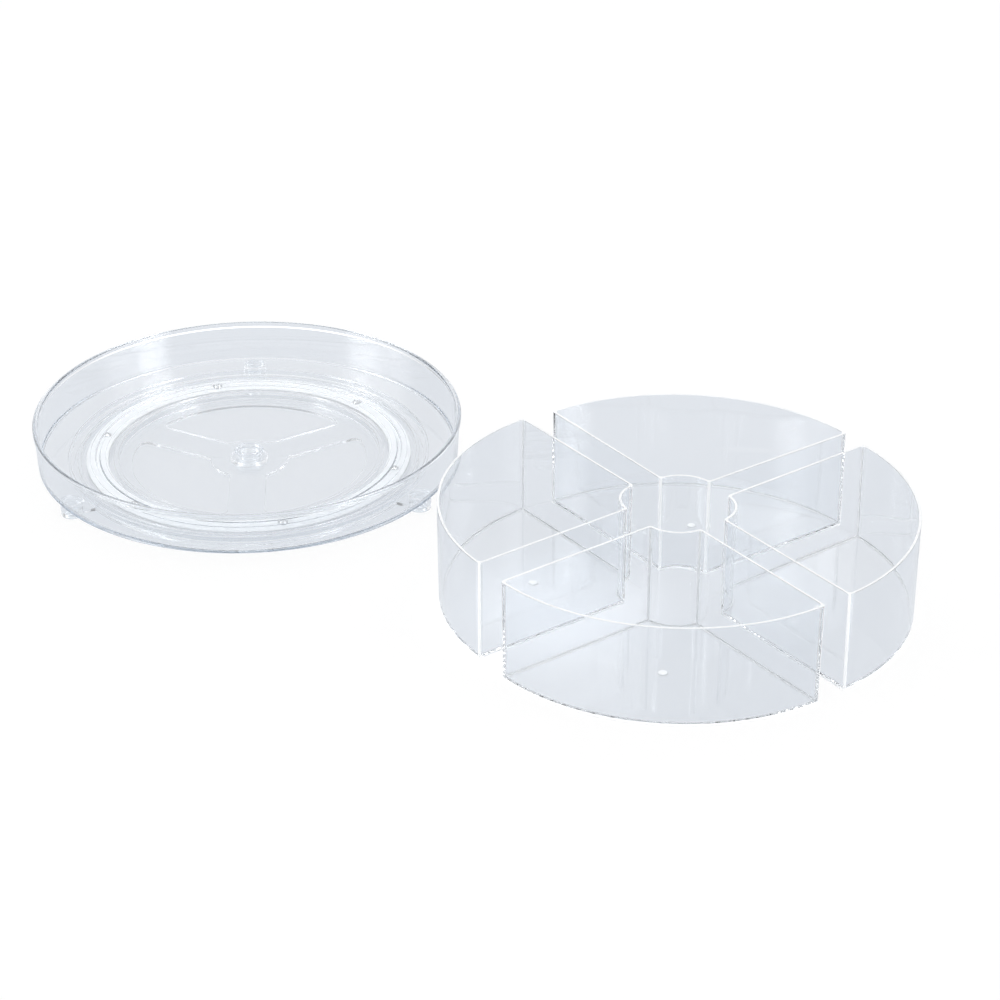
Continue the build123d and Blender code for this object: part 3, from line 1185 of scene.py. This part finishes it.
@dataclass
class BinSet:
    """Four bins, each a quarter of a ring, with walls that draw in towards the table.

    A bin is frosted at its rim, its upright corners, its foot and its gate mark.
    """

    tray_axis: Vector
    spots: tuple[Spot, ...] = (
        Spot("bin_right", 0.0, -1.5, -1.8, 0.3),
        Spot("bin_back", 90.0, 0.4, -0.5, -0.9),
        Spot("bin_left", 180.0, 0.3, 3.4, 0.0),
        Spot("bin_front", 270.0, 0.8, -1.2, 0.0),
    )
    tray_radius: float = 150.0
    clear_between: float = 39.8
    ring_bearing: float = -32.7
    ring_spread: float = 14.0
    ring_turn: float = -8.7
    outline: Sector = Sector(143.2, 23.4, 45.0, 0.75, 2.6, 2.8)
    hollow: Sector = Sector(141.4, 25.2, 45.0, 2.55, 2.6, 2.8)
    height: float = 70.8
    floor: float = 2.0
    draft: float = 0.8
    rim_round: float = 0.4
    foot_round: float = 0.9
    floor_round: float = 1.5
    gate: float = 82.0
    gate_corners: int = 48
    dimple: float = 3.4
    dimple_depth: float = 0.9
    nub: float = 1.1
    nub_height: float = 0.5
    frost_band: float = 1.4
    frost_fade: float = 0.3
    frost_rim: float = 0.2
    frost_foot: float = 2.0
    frost_gate: float = 3.3
    rim_share: float = 0.55
    corner_share: float = 0.7
    foot_share: float = 0.92
    gate_share: float = 0.95

    def build(self) -> None:
        """Models one bin and copies it to the four spots."""
        pattern = self.model()
        self.bins = []
        for spot in self.spots:
            self.bins.append(place(copy_of(pattern, f"{spot.name}_moulding"), *self.stand(spot)))
        bpy.data.objects.remove(pattern)

    def dress(self, finish: ClearMoulding) -> None:
        """Finishes the bins, each with its own frost.

        Args:
            finish: The bins' plastic.
        """
        for spot, piece in zip(self.spots, self.bins):
            own = replace(finish, name=f"{finish.name}_{spot.name}")
            material = own.make(lambda shader, spot=spot: self.frost(shader, *self.stand(spot)))
            dress_piece(piece, material, spot.name, spot.name)

    def stand(self, spot: Spot) -> tuple[float, float, float]:
        """Works out where a bin stands.

        Args:
            spot: The bin's spot.

        Returns:
            X and Y of the middle of its quarter, and which way it faces.
        """
        away = self.tray_radius + self.clear_between + self.ring_spread + self.outline.outer
        middle, facing = math.radians(self.ring_bearing), spot.bearing + self.ring_turn
        x = self.tray_axis.x / MM + away * math.cos(middle)
        y = self.tray_axis.y / MM + away * math.sin(middle)
        x += self.ring_spread * math.cos(math.radians(facing)) + spot.nudge_x
        y += self.ring_spread * math.sin(math.radians(facing)) + spot.nudge_y
        return x, y, facing + spot.nudge_turn

    def model(self) -> bpy.types.Object:
        """Models a bin about the origin, facing +X.

        Returns:
            The bin.
        """
        loft = Loft("bin_pattern", len(self.outline.points()))
        for outline, by, height in self.rings():
            loft.ring(outline.shrunk(self.draft * (1 - height / self.height) + by).points(), height)
        piece = loft.close()
        combine(piece, self.gate_mark(), Join.CUT)
        return piece

    def rings(self) -> list[tuple[Sector, float, float]]:
        """Lists the rings from the foot up the outside, over the rim and down to the floor.

        Returns:
            Each ring's outline, how far its rounding takes it inside that, and its height.
        """
        foot, rim, floor = self.foot_round, self.rim_round, self.floor_round
        low, high = self.floor + floor, self.height - rim
        rim_arc = arc(0, 0, rim, 0, 90, TIP_STEPS)
        return [
            *((self.outline, foot - x, foot + y) for x, y in arc(0, 0, foot, -90, 0, ROUND_STEPS)),
            *((self.outline, rim - x, high + y) for x, y in rim_arc),
            *((self.hollow, x - rim, high + y) for x, y in reversed(rim_arc)),
            *((self.hollow, floor - x, low + y) for x, y in arc(0, 0, floor, 0, -90, CURVE_STEPS)),
        ]

    def gate_mark(self) -> bpy.types.Object:
        """Models the dimple under the floor, with the nub left standing in it.

        Returns:
            The dimple's shape.
        """
        curve = (self.dimple**2 + self.dimple_depth**2) / (2 * self.dimple_depth)
        start, end = (math.degrees(math.acos(r / curve)) for r in (self.dimple, self.nub))
        profile = [
            (self.dimple, -CUT_PAST / 2),
            *arc(0, self.dimple_depth - curve, curve, start, end, CURVE_STEPS),
            (self.nub, self.dimple_depth - self.nub_height),
        ]
        return place(turned("gate_mark", profile, self.gate_corners), self.gate, 0)

    def frost(self, shader: Shader, x: float, y: float, facing: float) -> Signal:
        """Adds a bin's share of frost.

        Args:
            shader: The shader that it is for.
            x: X of the middle of the bin's quarter.
            y: Y of that middle.
            facing: Which way the bin faces.

        Returns:
            The share.
        """
        here = shader.add("TexCoord").outputs["Object"]
        spot, turn = (x * MM, y * MM, 0.0), (0.0, 0.0, math.radians(facing))
        own = shader.add("Mapping", here, spot, turn, (MM, MM, MM), vector_type="TEXTURE")
        ahead, aside, up = shader.add("SeparateXYZ", own).outputs
        reach = shader.add("Math", aside, aside, operation="MULTIPLY")
        reach = shader.add("Math", ahead, ahead, reach, operation="MULTIPLY_ADD")
        reach = shader.add("Math", reach, operation="SQRT")
        from_side = shader.add("Math", aside, operation="ABSOLUTE")
        from_side = shader.add("Math", ahead, from_side, operation="SUBTRACT")
        drawn_in = shader.add("Math", up, -self.draft / self.height, self.draft, operation="MULTIPLY_ADD")
        from_arc = shader.add("Math", self.outline.outer, reach, operation="SUBTRACT")
        at_arc = self.near(shader, from_arc, drawn_in)
        across = math.sin(math.radians(self.outline.half_angle))
        from_side = shader.add("Math", from_side, across, -self.outline.off, operation="MULTIPLY_ADD")
        at_side = self.near(shader, from_side, drawn_in)
        from_notch = shader.add("Math", reach, self.outline.inner, operation="SUBTRACT")
        at_notch = self.near(shader, from_notch, drawn_in)
        at_end = shader.add("Math", at_arc, at_notch, operation="MAXIMUM")
        at_edge = shader.add("Math", at_side, at_end, operation="MAXIMUM")
        fade, rim_foot = self.frost_fade, self.height - self.frost_rim
        foot = shader.add("MapRange", up, self.frost_foot + fade, self.frost_foot, **SMOOTH)
        foot = shader.add("Math", at_edge, foot, operation="MULTIPLY")
        middle = (self.gate, 0.0, 0.0)
        gate = shader.add("VectorMath", own, middle, operation="DISTANCE").outputs["Value"]
        gate = shader.add("MapRange", gate, self.frost_gate + fade, self.frost_gate, **SMOOTH)
        rim = shader.add("MapRange", up, rim_foot, rim_foot + fade / 2, **SMOOTH)
        rim = shader.add("Math", rim, self.rim_share, operation="MULTIPLY")
        edge = shader.add("Math", at_side, at_end, operation="MULTIPLY")
        edge = shader.add("Math", edge, self.corner_share, operation="MULTIPLY")
        foot = shader.add("Math", foot, self.foot_share, operation="MULTIPLY")
        gate = shader.add("Math", gate, self.gate_share, operation="MULTIPLY")
        share = shader.add("Math", rim, edge, operation="MAXIMUM")
        share = shader.add("Math", share, foot, operation="MAXIMUM")
        return shader.add("Math", share, gate, operation="MAXIMUM")

    def near(self, shader: Shader, distance: Signal, drawn_in: Signal) -> Signal:
        """Adds a fade-out where a place lies further inside the outline than the frosted band.

        Args:
            shader: The shader that it is for.
            distance: How far inside the outline at the rim the place lies.
            drawn_in: How far the walls are drawn in at its height.

        Returns:
            The fade.
        """
        inside = shader.add("Math", distance, drawn_in, operation="SUBTRACT")
        return shader.add("MapRange", inside, self.frost_band + self.frost_fade, self.frost_band, **SMOOTH)


def main() -> None:
    """Builds the scene in order."""
    logging.basicConfig(level=logging.INFO, format="%(message)s")
    low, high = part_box("tray")
    tray_axis = Vector(((low.x + high.x) / 2, (low.y + high.y) / 2, 0.0))
    scene = bpy.context.scene
    scene.view_settings.view_transform = "Standard"
    # Light is guided along the walls to the rims, which takes many bounces
    for kind in ("max_bounces", "transmission_bounces", "glossy_bounces", "transparent_max_bounces"):
        setattr(scene.cycles, kind, BOUNCES)
    Photographer(tray_axis).place()
    Studio((Vector(CAD_BOX[0]) + Vector(CAD_BOX[1])) / 2).build()
    clear_base = ClearMoulding("clear_polystyrene_base", wave=24.0).make()
    tray = Tray(tray_axis)
    tray.build()
    tray.dress(ClearMoulding("clear_polystyrene_tray", swallowing=6.0).make(), clear_base)
    base = Base(tray_axis)
    base.build()
    base.dress(clear_base, SoftVinyl().make())
    Bearing().dress(WhiteAcetal().make(), BearingSteel().make())
    bins = BinSet(tray_axis)
    bins.build()
    bins.dress(ClearMoulding("clear_polystyrene", through_wall="#FAFBFC", line_depth=0.0045))


if __name__ == "__main__":
    main()
